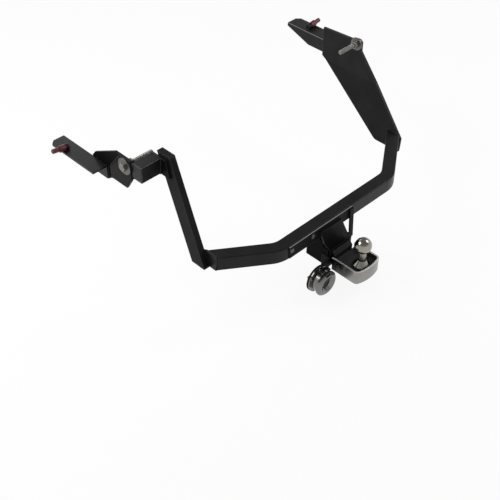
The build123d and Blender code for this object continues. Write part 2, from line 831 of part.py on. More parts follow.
def make_socket_body():
    """The plated shell: a flange and a barrel with a blind bore."""
    foot = socket_flange_thickness + socket_base_wall
    bore_length = socket_depth - foot
    body = barrel_cone() + Pos(0, 0, socket_flange_thickness / 2) * Cylinder(socket_flange_radius,
                                                                             socket_flange_thickness)
    body -= Pos(0, 0, foot + bore_length / 2) * Cylinder(socket_bore_radius, bore_length)
    body -= Cylinder(gland_radius, 2 * socket_depth)
    for hole in screw_holes(2 * socket_flange_thickness, screw_radius + fit_gap):
        body -= hole
    return socket_frame(hanger_y - gasket_thickness) * body


def make_hinge_bracket():
    """The black bracket on the barrel: a saddle with two lugs that hold the hinge pin."""
    half = hinge_lug_span / 2
    rise = hinge_height()
    top = socket_mouth_radius + saddle_height
    bracket = block(-half, half, 0, top, saddle_rear, socket_depth)
    for side in (-1, 1):
        x0 = side * half
        x1 = side * (half - hinge_lug_width)
        middle = (x0 + x1) / 2
        lug = Pos(middle, rise, hinge_out()) * Rot(0, 90, 0) * Cylinder(hinge_lug_radius, hinge_lug_width)
        root = block(x0, x1, top, rise + hinge_lug_radius, saddle_rear, hinge_out())
        corner = root.edges().filter_by(Axis.X).sort_by(Axis.Y)[-2:].sort_by(Axis.Z)[0]
        bracket += lug + chamfer(corner, rise + hinge_lug_radius - top - 1)
    bracket -= barrel_cone()
    bracket -= block(-half, half, -socket_mouth_radius, 0, 0, socket_depth)
    bracket -= Pos(0, rise, hinge_out()) * Rot(0, 90, 0) * Cylinder(hinge_pin_radius, 2 * hinge_lug_span)
    return socket_frame(hanger_y - gasket_thickness) * bracket


def pin_places():
    """Centres of the contact pins across the insert."""
    ring_places = [(pin_ring_radius * math.cos(2 * math.pi * i / pin_ring_count),
                    pin_ring_radius * math.sin(2 * math.pi * i / pin_ring_count)) for i in range(pin_ring_count)]
    return [(0.0, 0.0)] + ring_places


def make_insert():
    """The moulded contact carrier."""
    foot = socket_flange_thickness + socket_base_wall
    radius = socket_bore_radius - insert_clearance
    insert = Pos(0, 0, foot + insert_length / 2) * Cylinder(radius, insert_length)
    for x, y in pin_places():
        insert -= Pos(x, y, foot + insert_length / 2) * Cylinder(pin_radius, 2 * insert_length)
    return socket_frame(hanger_y - gasket_thickness) * insert


def make_contact_pins():
    """Brass pins that stand out of the carrier."""
    foot = socket_flange_thickness + socket_base_wall
    pins = []
    for x, y in pin_places():
        pin = Pos(x, y, foot + pin_length / 2) * Cylinder(pin_radius, pin_length)
        pin = fillet(pin.edges().filter_by(GeomType.CIRCLE).sort_by(Axis.Z)[-1], pin_radius * 0.6)
        pins.append(socket_frame(hanger_y - gasket_thickness) * pin)
    return pins


def make_socket_screws():
    """Screws through the flange, the gasket and the hanger."""
    screws = []
    length = socket_flange_thickness + gasket_thickness + hanger_thickness + small_nut_height + 1
    for a in screw_places():
        head = Cylinder(screw_head_radius, screw_head_height)
        head = fillet(head.edges().filter_by(GeomType.CIRCLE).sort_by(Axis.Z)[-1], screw_head_height * 0.6)
        head = Pos(0, 0, socket_flange_thickness + screw_head_height / 2) * head
        shank = Pos(0, 0, socket_flange_thickness - length / 2) * Cylinder(screw_radius, length)
        place = Pos(screw_ring_radius * math.cos(a), screw_ring_radius * math.sin(a), 0)
        screws.append(socket_frame(hanger_y - gasket_thickness) * place * (head + shank))
    return screws


def make_socket_nuts():
    """Nuts on the hanger's front face."""
    nuts = []
    for a in screw_places():
        nut = hexagon(small_nut_across, small_nut_height) - Cylinder(screw_radius, 4 * small_nut_height)
        place = Pos(screw_ring_radius * math.cos(a), screw_ring_radius * math.sin(a), -small_nut_height)
        nuts.append(socket_frame(hanger_y + hanger_thickness) * place * nut)
    return nuts


def make_gland():
    """The moulded cable inlet on the hanger's front face."""
    body = Pos(0, 0, -gland_length / 2) * Cylinder(gland_radius + 2, gland_length)
    body = fillet(body.edges().filter_by(GeomType.CIRCLE).sort_by(Axis.Z)[0], gland_radius * 0.25)
    spigot = Pos(0, 0, (hanger_thickness + gasket_thickness + socket_flange_thickness) / 2)
    spigot *= Cylinder(gland_radius - fit_gap, hanger_thickness + gasket_thickness + socket_flange_thickness)
    return socket_frame(hanger_y + hanger_thickness) * (body + spigot - Cylinder(gland_bore_radius, 6 * gland_length))


def lid_start():
    """Where the lid's rim starts, along the socket's axis from the gasket."""
    return socket_depth + seal_thickness + lid_gap


def lid_form():
    """The lid's turned form on its own axis: a domed ring with a deep dished middle."""
    rim = lid_radius - lid_rim_wall
    back = lid_dish - lid_wall
    back_radius = lid_dish_radius + lid_wall
    under = Polyline((0, lid_dish), (0, back), (back_radius, back), (back_radius + lid_wall, lid_hollow),
                     (rim, lid_hollow), (rim, 0), (lid_radius, 0), (lid_radius, lid_rim_depth))
    middle = ((lid_radius + lid_crest_radius) / 2 + lid_bulge, lid_crest - lid_bulge)
    dome = ThreePointArc((lid_radius, lid_rim_depth), middle, (lid_crest_radius, lid_crest))
    dish = Polyline((lid_crest_radius, lid_crest), (lid_dish_radius, lid_dish_edge), (0, lid_dish))
    face = make_face(under + dome + dish)
    return revolve(Plane.XZ * face, axis=Axis.Z)


def lid_arm_room():
    """The block that the lid's arm fills, outside the lid's hollow."""
    half = hinge_lug_span / 2 - hinge_lug_width - lid_gap
    rise = hinge_height()
    return block(-half, half, rise - lid_arm_foot, rise, lid_hollow, lid_crest)


def make_lid():
    """The sprung lid, notched round the hinge lugs and under its arm."""
    rise = hinge_height()
    room = hinge_lug_radius + lid_gap
    lid = lid_form() - lid_arm_room()
    lid -= Pos(0, rise, 0) * Box(hinge_lug_span + 2 * lid_gap, 2 * room, 2 * room)
    return socket_frame(hanger_y - gasket_thickness) * Pos(0, 0, lid_start()) * lid


def make_lid_arm():
    """The black arm let into the lid's top, with a knuckle between the bracket's lugs."""
    rise = hinge_height()
    half = hinge_lug_span / 2 - hinge_lug_width - lid_gap
    arm = lid_arm_room() - block(-half, half, -rise, rise, lid_rim_depth + lid_arm_step, 2 * lid_crest)
    knuckle = Pos(0, rise, 0) * Rot(0, 90, 0) * Cylinder(hinge_lug_radius - 1, 2 * half)
    arm += knuckle
    spring_space = spring_radius + spring_wire_radius + lid_gap
    arm -= Pos(0, rise, 0) * Rot(0, 90, 0) * Cylinder(spring_space, half)
    arm -= block(-half / 2, half / 2, rise, rise + spring_space, -spring_space, spring_space)
    arm -= Pos(0, rise, 0) * Rot(0, 90, 0) * Cylinder(hinge_pin_radius + hinge_clearance, 4 * half)
    return socket_frame(hanger_y - gasket_thickness) * Pos(0, 0, lid_start()) * arm


def make_lid_spring():
    """The coil round the hinge pin, one unbroken wire with a straight leg on the barrel."""
    rise = spring_pitch * spring_turns
    coil = Helix(spring_pitch, rise, spring_radius)
    foot = coil @ 0
    way = (coil % 0) * -1
    wire = sweep(Plane(origin=foot, z_dir=way * -1) * Circle(spring_wire_radius), path=coil, is_frenet=True)
    leg = Line(foot, foot + way * (hinge_rise - saddle_height - spring_seat_gap))
    wire += sweep(Plane(origin=foot, z_dir=way) * Circle(spring_wire_radius), path=leg)
    turned = Rot(0, 90, 0) * Pos(0, 0, -rise / 2) * wire
    return socket_frame(hanger_y - gasket_thickness) * Pos(0, hinge_height(), hinge_out()) * turned


def make_seal():
    """The rubber ring in the lid."""
    foot = socket_depth + lid_gap
    outer = socket_mouth_radius - lid_rim_wall
    seal = ring(outer, socket_bore_radius + seal_margin, seal_thickness + lid_hollow)
    return socket_frame(hanger_y - gasket_thickness) * Pos(0, 0, foot) * seal


def make_hinge_pin():
    """The lid's hinge pin, through both lugs."""
    pin = Rot(0, 90, 0) * Cylinder(hinge_pin_radius, hinge_lug_span + 2)
    return socket_frame(hanger_y - gasket_thickness) * Pos(0, hinge_height(), hinge_out()) * pin


parts = {
    "cross_bar": [make_cross_bar()],
    "bar_end_cap": [make_bar_end_cap()],
    "left_upright": [make_upright()],
    "upright_caps": make_upright_caps(),
    "saddle_plate": [make_saddle()],
    "outrigger_tube": [make_outrigger()],
    "outrigger_cap": [make_outrigger_cap()],
    "left_joint_plate": [make_joint_plate()],
    "left_outer_plate": [make_outer_plate()],
    "left_bracket": [mirrored(make_bracket(-1))],
    "right_bracket": [make_bracket(1)],
    "right_side_plate": [make_side_plate()],
    "long_bolts": [make_long_bolt(s) for s in (-1, 1)],
    "big_washers": [make_big_washer(s) for s in (-1, 1)],
    "lock_washers": [make_lock_washer(s) for s in (-1, 1)],
    "long_bolt_nuts": [make_long_nut(s) for s in (-1, 1)],
    "studs": [make_stud(s) for s in (-1, 1)],
    "stud_ferrules": [make_ferrule(s) for s in (-1, 1)],
    "stud_collars": [make_stud_collar(s) for s in (-1, 1)],
    "stud_caps": [make_stud_cap(s) for s in (-1, 1)],
    "backing_plate": [make_backing_plate()],
    "backing_screws": make_backing_screws(),
    "drop_plate": [make_drop_plate()],
    "receiver_tube": [make_receiver()],
    "left_gusset": [mirrored(make_gusset())],
    "right_gusset": [make_gusset()],
    "drawbar": [make_drawbar()],
    "drawbar_screws": make_retainers(),
    "tongue_shell": [make_tongue_shell()],
    "tongue_plate": [make_tongue_plate()],
    "tow_ball": [make_ball()],
    "ball_lock_washer": [make_ball_washer()],
    "ball_nut": [make_ball_nut()],
    "socket_hanger": [make_hanger()],
    "socket_gasket": [make_gasket()],
    "socket_body": [make_socket_body()],
    "hinge_bracket": [make_hinge_bracket()],
    "contact_carrier": [make_insert()],
    "contact_pins": make_contact_pins(),
    "socket_screws": make_socket_screws(),
    "socket_nuts": make_socket_nuts(),
    "cable_gland": [make_gland()],
    "socket_lid": [make_lid()],
    "lid_arm": [make_lid_arm()],
    "lid_seal": [make_seal()],
    "lid_hinge_pin": [make_hinge_pin()],
    "lid_spring": [make_lid_spring()],
}

to_ball = Pos(0, ball_setback, ball_drop)
os.makedirs("parts", exist_ok=True)
for name, solids in parts.items():
    placed = [to_ball * solid for solid in solids]
    export_step(Compound(children=[s for p in placed for s in p.solids()]), f"parts/{name}.step")
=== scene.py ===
import bpy
import bmesh
import json
import math
import random
from mathutils import Matrix, Vector
from mathutils.bvhtree import BVHTree


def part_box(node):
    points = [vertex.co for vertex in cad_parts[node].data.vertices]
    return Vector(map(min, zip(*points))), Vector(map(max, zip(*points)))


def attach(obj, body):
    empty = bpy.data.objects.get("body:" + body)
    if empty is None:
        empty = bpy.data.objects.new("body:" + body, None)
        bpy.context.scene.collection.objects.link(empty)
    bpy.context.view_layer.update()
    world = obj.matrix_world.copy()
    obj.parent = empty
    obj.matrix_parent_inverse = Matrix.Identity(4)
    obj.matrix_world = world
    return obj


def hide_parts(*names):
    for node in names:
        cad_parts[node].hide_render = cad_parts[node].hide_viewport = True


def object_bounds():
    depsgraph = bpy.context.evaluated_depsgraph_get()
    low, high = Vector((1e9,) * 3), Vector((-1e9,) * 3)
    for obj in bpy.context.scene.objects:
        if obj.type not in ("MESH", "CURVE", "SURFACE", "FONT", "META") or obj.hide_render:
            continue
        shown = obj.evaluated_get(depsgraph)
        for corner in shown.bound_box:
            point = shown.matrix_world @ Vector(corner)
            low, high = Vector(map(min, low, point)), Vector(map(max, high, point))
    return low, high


# The dressed tow hitch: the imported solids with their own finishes, edge rounding, threads and weld beads,
# on a pale floor in soft studio light. Metres; the origin is the centre of the coupling ball, X points to the
# car's right, Y forward to the car and Z up.

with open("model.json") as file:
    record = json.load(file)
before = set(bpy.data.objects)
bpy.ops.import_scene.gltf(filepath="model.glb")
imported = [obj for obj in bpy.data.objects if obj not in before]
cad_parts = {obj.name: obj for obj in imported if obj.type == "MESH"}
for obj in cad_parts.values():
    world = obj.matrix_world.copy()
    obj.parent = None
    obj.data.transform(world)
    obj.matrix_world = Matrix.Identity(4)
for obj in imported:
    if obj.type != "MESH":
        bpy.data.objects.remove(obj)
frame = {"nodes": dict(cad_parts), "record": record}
cad_box = [list(corner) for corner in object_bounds()]
nodes = frame["nodes"]
slots = {part["node"]: part["material_slot"] for part in frame["record"]["subparts"]}

# Camera: the photograph's direction and distance
camera_place = (-1.6449, -1.2141, 1.7882)
camera_azimuth = -44.5
camera_elevation = 41.8
camera_lens = 68.33
camera_sensor = 36.0

# Light: a large lamp over the left front, a smaller one over the right and a weak one from the front
scene_middle = (0.0, 0.25, 0.0)
key_place = (-1.30, 1.36, 1.42)
key_size = 1.3
key_power = 25.0
side_place = (1.50, -0.50, 1.55)
side_size = 0.9
side_power = 15.0
rim_place = (0.6, 3.2, 1.8)
rim_size = 1.6
rim_power = 12.0
room_strength = 1.0
# The room's colour against the height of a ray's direction
room_stops = [(0.0, (1.0, 1.0, 1.0)), (0.26, (0.97, 0.97, 0.97)), (0.60, (0.34, 0.34, 0.35)),
              (1.0, (0.28, 0.28, 0.29))]
floor_size = 30.0
floor_gap = 0.0005             # from the object's lowest point down to the floor
floor_colour = (0.93, 0.93, 0.93)
floor_shade = 0.985            # of that colour, in the floor's darker clouds
floor_roughness = 0.9
floor_gloss = 0.1
floor_white_share = 0.90       # how much of the floor is plain white to the camera

# Coats: the two tones of a coat's clouds, its roughness and its gloss, which is the shader's specular level
paint_dark = (0.0065, 0.0065, 0.0068)
paint_pale = (0.0105, 0.0105, 0.0110)
paint_roughness = 0.32
paint_gloss = 0.16
side_roughness = 0.34
side_gloss = 0.11
upright_roughness = 0.36
upright_gloss = 0.07
# Painted shade: darker tones of the black coat for parts that lie in shade under and behind the bar; the
# record's dark steel and the backing plate wear them too
painted_shade_dark = (0.0030, 0.0030, 0.0032)
painted_shade_pale = (0.0048, 0.0048, 0.0050)
painted_shade_roughness = 0.45
low_gloss = 0.06
gusset_gloss = 0.02
dark_steel_roughness = 0.40
plate_dark = (0.0070, 0.0070, 0.0073)
plate_pale = (0.0115, 0.0115, 0.0120)
plate_roughness = 0.42
tongue_plate_dark = (0.0290, 0.0290, 0.0300)
tongue_plate_pale = (0.0410, 0.0410, 0.0420)
tongue_plate_roughness = 0.36

# Wear and painted highlights: outside edges are paler than their coat from edge wear and a painted highlight,
# and lips and folds are paler from a painted highlight
edge_round = 0.0012            # radius that every edge is shaded with
round_samples = 4
edge_samples = 12
edge_reach = 0.0016            # how far the edge wear and painted highlight reach from an edge
edge_full = 0.80               # rounded normal times flat one, where the edge wear and painted highlight are full and where they start
edge_start = 0.995
edge_wear_and_highlight_tone = 4.0                # a paler edge, edge wear and painted highlight, is the coat's pale tone times this, plus the gain
edge_wear_and_highlight_gain = 0.045
# the outrigger's edges get a larger gain, mostly a painted highlight along its upper edges
outrigger_edge_wear_and_highlight = 0.25
# painted highlights on the top lips of the tongue shell and the backing plate
chrome_lip_highlight = (0.88, 0.88, 0.87)
backing_lip_highlight = (0.26, 0.26, 0.26)
lip_depth = 0.0006             # how far the painted highlight on a lip reaches down
lip_haze = 0.42
# a painted highlight along the brackets' bent folds, placed by how far up the surface faces
fold_highlight = (0.22, 0.22, 0.22)
fold_low = 0.45                # how far up a fold's surface faces where the painted highlight starts, is full and ends
fold_middle = 0.70
fold_high = 0.93

# Metals: the two tones of their clouds and their roughness, which is a range for chrome
zinc = (0.21, 0.21, 0.20)
zinc_roughness = 0.28
dull_zinc = (0.12, 0.12, 0.115)
dull_zinc_roughness = 0.42
washer_zinc = (0.145, 0.145, 0.14)
washer_zinc_roughness = 0.34
wire_steel = (0.30, 0.30, 0.31)
wire_steel_roughness = 0.34
warm_tint = (1.0, 0.95, 0.86)  # of the plating's warm clouds
skirt_dark = (0.24, 0.235, 0.225)
skirt_pale = (0.32, 0.315, 0.305)
skirt_haze = (0.20, 0.30)
ball_dark = (0.26, 0.245, 0.215)
ball_pale = (0.34, 0.325, 0.29)
ball_haze = (0.10, 0.17)
neck_haze = (0.28, 0.38)
neck_top = -0.021              # between these heights the ball's neck is turned, not polished
neck_foot = -0.054
neck_fade = 0.002
socket_dark = (0.135, 0.133, 0.128)
socket_pale = (0.195, 0.192, 0.186)
socket_haze = (0.09, 0.15)
lid_axis = (-0.101, -0.111)    # x and z of the lid's middle
# a painted dark reflection in the lid's dished middle: its colour, radius and the width of its soft edge
lid_painted_reflection = (0.012, 0.012, 0.012)
lid_painted_reflection_radius = 0.0165
lid_painted_reflection_edge = 0.0006
brass_dark = (0.58, 0.40, 0.16)
brass_pale = (0.78, 0.60, 0.30)
brass_haze = (0.18, 0.32)

# Mouldings: colour, roughness, strength of the grain
cover_red = (0.075, 0.010, 0.014)
cover_roughness = 0.42
cover_grain = 0.12
cover_coat = 0.15
rubber_black = (0.006, 0.006, 0.006)
rubber_roughness = 0.62
rubber_grain = 0.3
carrier_black = (0.012, 0.012, 0.014)
carrier_roughness = 0.48
carrier_grain = 0.2
moulding_gloss = 0.35
moulding_pale = 1.5            # times the colour, in the paler clouds

# Fasteners, in metres
bolt_across = 0.022
bolt_head_height = 0.009
bolt_radius = 0.007
bolt_pitch = 0.002
small_bolt_across = 0.013
small_bolt_head_height = 0.0055
small_bolt_radius = 0.004
small_bolt_pitch = 0.00125
drawbar_screw_across = 0.018
drawbar_screw_head_height = 0.008
drawbar_screw_radius = 0.006
drawbar_screw_pitch = 0.00175
ball_nut_across = 0.032
ball_shank_radius = 0.011
tiny_nut_across = 0.008
tiny_screw_radius = 0.0025
head_steps = 48                # points round a bolt's head or a nut
shank_steps = 24
hexagon_face_share = 0.95      # a head's flat round face, of its width across the flats
corner_cut_angle = math.radians(30.0)
nut_lead_share = 0.06          # the cone at a nut's bore, of its width
thread_depth_share = 0.61      # of the pitch
thread_crest_share = 0.12      # the flat crest and the flank, of half the pitch
thread_flank_share = 0.76
rings_per_turn = 6
washer_slot = math.radians(9.0)
washer_steps = 60
washer_bore = {"lock_washers": 0.00725, "ball_lock_washer": 0.0113}    # radii

# Weld beads: half sunk in the corner that they fill
bead_radius = 0.0023
bead_ripple = 0.0026           # length of one ripple
bead_step = 0.0009
bead_sides = 8
bead_swell = 0.10              # how much a ripple swells the bead, and chance adds
bead_chance = 0.05
bead_end = 0.45                # a bead's thickness at its end, and its growth with each step
bead_growth = 0.2
shortest_bead = 0.008
weld_seed = 7
merge_distance = 1e-6
sharp_angle = math.radians(25.0)
contact_step = 0.001           # between the points of an edge that are tried
contact_gap = 0.0004           # an edge nearer than this to a surface lies on it
join_gap = 0.0003              # runs whose ends are nearer than this make one bead
air_start = 1.6 * bead_radius
air_reach = 0.6
welded_pairs = [
    ("bar_end_cap", "left_upright"), ("cross_bar", "bar_end_cap"), ("cross_bar", "right_side_plate"),
    ("saddle_plate", "left_upright"), ("outrigger_tube", "saddle_plate"),
    ("left_joint_plate", "outrigger_tube"), ("left_bracket", "left_joint_plate"),
    ("left_outer_plate", "left_joint_plate"), ("right_bracket", "right_side_plate"),
    ("drop_plate", "receiver_tube"), ("drop_plate", "backing_plate"), ("left_gusset", "cross_bar"),
    ("right_gusset", "cross_bar"), ("receiver_tube", "left_gusset"), ("receiver_tube", "right_gusset"),
    ("socket_hanger", "left_gusset"),
]


def new_material(name):
    """A material that holds only a shader and its output, with its node tree and that shader."""
    material = bpy.data.materials.new(name)
    material.use_nodes = True
    tree = material.node_tree
    tree.nodes.clear()
    out = tree.nodes.new("ShaderNodeOutputMaterial")
    shader = tree.nodes.new("ShaderNodeBsdfPrincipled")
    tree.links.new(shader.outputs["BSDF"], out.inputs["Surface"])
    return material, tree, shader


def shader_of(material):
    """A material's node tree and its shader."""
    tree = material.node_tree
    return tree, [node for node in tree.nodes if node.type == "BSDF_PRINCIPLED"][0]


def feed(tree, value, socket):
    """Link an output to a socket, or set the socket to a number or an (r, g, b) colour."""
    if isinstance(value, tuple):
        socket.default_value = (*value, 1.0)
    elif isinstance(value, float):
        socket.default_value = value
    else:
        tree.links.new(value, socket)


def object_point(tree):
    """The object's own coordinates, which are the row frame's."""
    return tree.nodes.new("ShaderNodeTexCoord").outputs["Object"]


def split(tree, vector):
    """A vector's X, Y and Z as outputs."""
    parts = tree.nodes.new("ShaderNodeSeparateXYZ")
    tree.links.new(vector, parts.inputs[0])
    return parts.outputs


def calculated(tree, operation, first, second):
    """The result of an operation on two numbers, each an output or a constant."""
    node = tree.nodes.new("ShaderNodeMath")
    node.operation = operation
    feed(tree, first, node.inputs[0])
    feed(tree, second, node.inputs[1])
    return node.outputs[0]


def noise(tree, scale, detail=2.0, stretch=None):
    """A noise texture on the object's coordinates; stretch multiplies each axis."""
    texture = tree.nodes.new("ShaderNodeTexNoise")
    texture.inputs["Scale"].default_value = scale
    texture.inputs["Detail"].default_value = detail
    point = object_point(tree)
    if stretch:
        mapping = tree.nodes.new("ShaderNodeMapping")
        mapping.inputs["Scale"].default_value = stretch
        tree.links.new(point, mapping.inputs["Vector"])
        point = mapping.outputs["Vector"]
    tree.links.new(point, texture.inputs["Vector"])
    return texture.outputs["Fac"]


def ramp(tree, factor, stops):
    """A colour ramp over a factor; stops are (position, (r, g, b))."""
    node = tree.nodes.new("ShaderNodeValToRGB")
    elements = node.color_ramp.elements
    while len(elements) < len(stops):
        elements.new(0.5)
    for element, (place, colour) in zip(elements, stops):
        element.position = place
        element.color = (*colour, 1.0)
    tree.links.new(factor, node.inputs["Fac"])
    return node.outputs["Color"]


def between(tree, factor, low, high, from_low=0.0, from_high=1.0):
    """A factor mapped to a range of numbers."""
    node = tree.nodes.new("ShaderNodeMapRange")
    node.inputs["From Min"].default_value = from_low
    node.inputs["From Max"].default_value = from_high
    node.inputs["To Min"].default_value = low
    node.inputs["To Max"].default_value = high
    tree.links.new(factor, node.inputs["Value"])
    return node.outputs["Result"]


def mixed(tree, factor, low, high, kind="RGBA"):
    """Two colours mixed by a factor, or two numbers where the kind is VALUE."""
    node = tree.nodes.new("ShaderNodeMix")
    node.data_type = "RGBA" if kind == "RGBA" else "FLOAT"
    tree.links.new(factor, node.inputs["Factor"])
    for name, value in (("A", low), ("B", high)):
        feed(tree, value, [s for s in node.inputs if s.name == name and s.type == kind][0])
    return [s for s in node.outputs if s.type == kind][0]


def bump(tree, shader, height, strength, depth):
    """Relief on the shader's normal, over softly rounded edges."""
    soft = tree.nodes.new("ShaderNodeBevel")
    soft.samples = round_samples
    soft.inputs["Radius"].default_value = edge_round
    node = tree.nodes.new("ShaderNodeBump")
    node.inputs["Strength"].default_value = strength
    node.inputs["Distance"].default_value = depth
    tree.links.new(height, node.inputs["Height"])
    tree.links.new(soft.outputs["Normal"], node.inputs["Normal"])
    tree.links.new(node.outputs["Normal"], shader.inputs["Normal"])


def edge_share(tree):
    """A share that rises at outside edges: how far the rounded normal leaves the flat one."""
    soft = tree.nodes.new("ShaderNodeBevel")
    soft.samples = edge_samples
    soft.inputs["Radius"].default_value = edge_reach
    flat = tree.nodes.new("ShaderNodeNewGeometry")
    dot = tree.nodes.new("ShaderNodeVectorMath")
    dot.operation = "DOT_PRODUCT"
    tree.links.new(soft.outputs["Normal"], dot.inputs[0])
    tree.links.new(flat.outputs["Normal"], dot.inputs[1])
    return between(tree, dot.outputs["Value"], 1.0, 0.0, edge_full, edge_start)


def clouded(tree, scale, detail, dark, pale, start, end):
    """Clouds of two tones; the dark one fills the noise below start and the pale one above end."""
    return ramp(tree, noise(tree, scale, detail), [(start, dark), (end, pale)])


def set_haze(tree, shader, scale, detail, low, high):
    """Let the shader's roughness drift between two values."""
    tree.links.new(between(tree, noise(tree, scale, detail), low, high), shader.inputs["Roughness"])


def recolour(tree, shader, share, colour):
    """Give the shader another colour as far as a share says."""
    own = shader.inputs["Base Color"].links[0].from_socket
    tree.links.new(mixed(tree, share, own, colour), shader.inputs["Base Color"])


def powder_coat(name, dark, pale, roughness, gloss=paint_gloss, wear_and_highlight=edge_wear_and_highlight_gain):
    """Black powder coat: cloudy tone, fine orange peel and paler edges, which are edge wear and a painted
    highlight.
    """
    material, tree, shader = new_material(name)
    clouds = clouded(tree, scale=18.0, detail=4.0, dark=dark, pale=pale, start=0.35, end=0.65)
    tree.links.new(clouds, shader.inputs["Base Color"])
    recolour(tree, shader, edge_share(tree), tuple(min(1.0, value * edge_wear_and_highlight_tone + wear_and_highlight) for value in pale))
    set_haze(tree, shader, scale=60.0, detail=3.0, low=roughness - 0.06, high=roughness + 0.08)
    shader.inputs["Specular IOR Level"].default_value = gloss
    bump(tree, shader, noise(tree, scale=900.0), strength=0.25, depth=0.0004)
    return material


def plated_steel(name, colour, roughness):
    """Plated or bare steel: pale metal with faint warm and cool clouds and fine scratches."""
    material, tree, shader = new_material(name)
    warm = tuple(value * tint for value, tint in zip(colour, warm_tint))
    clouds = clouded(tree, scale=55.0, detail=3.0, dark=warm, pale=colour, start=0.3, end=0.7)
    tree.links.new(clouds, shader.inputs["Base Color"])
    shader.inputs["Metallic"].default_value = 1.0
    set_haze(tree, shader, scale=160.0, detail=4.0, low=roughness - 0.08, high=roughness + 0.12)
    scratches = noise(tree, scale=420.0, detail=3.0, stretch=(1.0, 1.0, 6.0))
    bump(tree, shader, scratches, strength=0.18, depth=0.0003)
    return material


def chrome_plate(name, dark, pale, haze):
    """Chrome over steel: haze between two roughness values and polishing lines."""
    material, tree, shader = new_material(name)
    clouds = clouded(tree, scale=14.0, detail=3.0, dark=dark, pale=pale, start=0.3, end=0.7)
    tree.links.new(clouds, shader.inputs["Base Color"])
    shader.inputs["Metallic"].default_value = 1.0
    set_haze(tree, shader, scale=35.0, detail=4.0, low=haze[0], high=haze[1])
    lines = noise(tree, scale=240.0, detail=3.0, stretch=(1.0, 1.0, 9.0))
    bump(tree, shader, lines, strength=0.06, depth=0.0003)
    return material


def with_painted_lip_highlight(material, node, bright):
    """A finish with a painted highlight on its top lip, at a node's highest level."""
    tree, shader = shader_of(material)
    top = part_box(node)[1][2]
    height = split(tree, object_point(tree))["Z"]
    lip = between(tree, height, 0.0, 1.0, top - lip_depth, top - lip_depth / 2)
    recolour(tree, shader, lip, bright)
    haze = shader.inputs["Roughness"].links[0].from_socket
    tree.links.new(mixed(tree, lip, haze, lip_haze, "VALUE"), shader.inputs["Roughness"])
    return material


def with_painted_fold_highlight(material, bright):
    """A finish with a painted highlight along the middle of its bent folds, which face neither up nor
    sideways.
    """
    tree, shader = shader_of(material)
    surface = tree.nodes.new("ShaderNodeNewGeometry")
    upward = split(tree, surface.outputs["Normal"])["Z"]
    rise = between(tree, upward, 0.0, 1.0, fold_low, fold_middle)
    fall = between(tree, upward, 1.0, 0.0, fold_middle, fold_high)
    recolour(tree, shader, calculated(tree, "MINIMUM", rise, fall), bright)
    return material


def polished_ball(name):
    """Bright chrome on the ball and its collar; the neck between them is turned and duller."""
    material = chrome_plate(name, ball_dark, ball_pale, ball_haze)
    tree, shader = shader_of(material)
    height = split(tree, object_point(tree))["Z"]
    above = between(tree, height, 0.0, 1.0, neck_top - neck_fade, neck_top + neck_fade)
    below = between(tree, height, 1.0, 0.0, neck_foot - neck_fade, neck_foot + neck_fade)
    polished = shader.inputs["Roughness"].links[0].from_socket
    turned = between(tree, noise(tree, scale=35.0, detail=4.0), neck_haze[0], neck_haze[1])
    share = calculated(tree, "MAXIMUM", above, below)
    tree.links.new(mixed(tree, share, turned, polished, "VALUE"), shader.inputs["Roughness"])
    return material


def lid_chrome_with_painted_reflection(name):
    """Bright chrome with a painted dark reflection in the lid's dished middle."""
    material = chrome_plate(name, socket_dark, socket_pale, socket_haze)
    tree, shader = shader_of(material)
    place = split(tree, object_point(tree))
    flat = tree.nodes.new("ShaderNodeCombineXYZ")
    tree.links.new(place["X"], flat.inputs[0])
    tree.links.new(place["Z"], flat.inputs[1])
    from_axis = tree.nodes.new("ShaderNodeVectorMath")
    from_axis.operation = "DISTANCE"
    from_axis.inputs[1].default_value = (*lid_axis, 0.0)
    tree.links.new(flat.outputs[0], from_axis.inputs[0])
    inside = between(tree, from_axis.outputs["Value"], 1.0, 0.0, lid_painted_reflection_radius - lid_painted_reflection_edge,
                     lid_painted_reflection_radius + lid_painted_reflection_edge)
    recolour(tree, shader, inside, lid_painted_reflection)
    return material


def moulding(name, colour, roughness, grain, coat=0.0):
    """Moulded plastic or rubber with a fine grain."""
    material, tree, shader = new_material(name)
    pale = tuple(min(1.0, value * moulding_pale) for value in colour)
    clouds = clouded(tree, scale=40.0, detail=3.0, dark=colour, pale=pale, start=0.35, end=0.7)
    tree.links.new(clouds, shader.inputs["Base Color"])
    set_haze(tree, shader, scale=90.0, detail=2.0, low=roughness - 0.05, high=roughness + 0.08)
    shader.inputs["Specular IOR Level"].default_value = moulding_gloss
    shader.inputs["Coat Weight"].default_value = coat
    bump(tree, shader, noise(tree, scale=700.0), strength=grain, depth=0.0003)
    return material


def turned_brass(name):
    """Turned brass with faint clouds and a fine grain."""
    material, tree, shader = new_material(name)
    clouds = clouded(tree, scale=90.0, detail=2.0, dark=brass_dark, pale=brass_pale, start=0.3, end=0.7)
    tree.links.new(clouds, shader.inputs["Base Color"])
    shader.inputs["Metallic"].default_value = 1.0
    set_haze(tree, shader, scale=200.0, detail=2.0, low=brass_haze[0], high=brass_haze[1])
    bump(tree, shader, noise(tree, scale=900.0), strength=0.1, depth=0.0002)
    return material


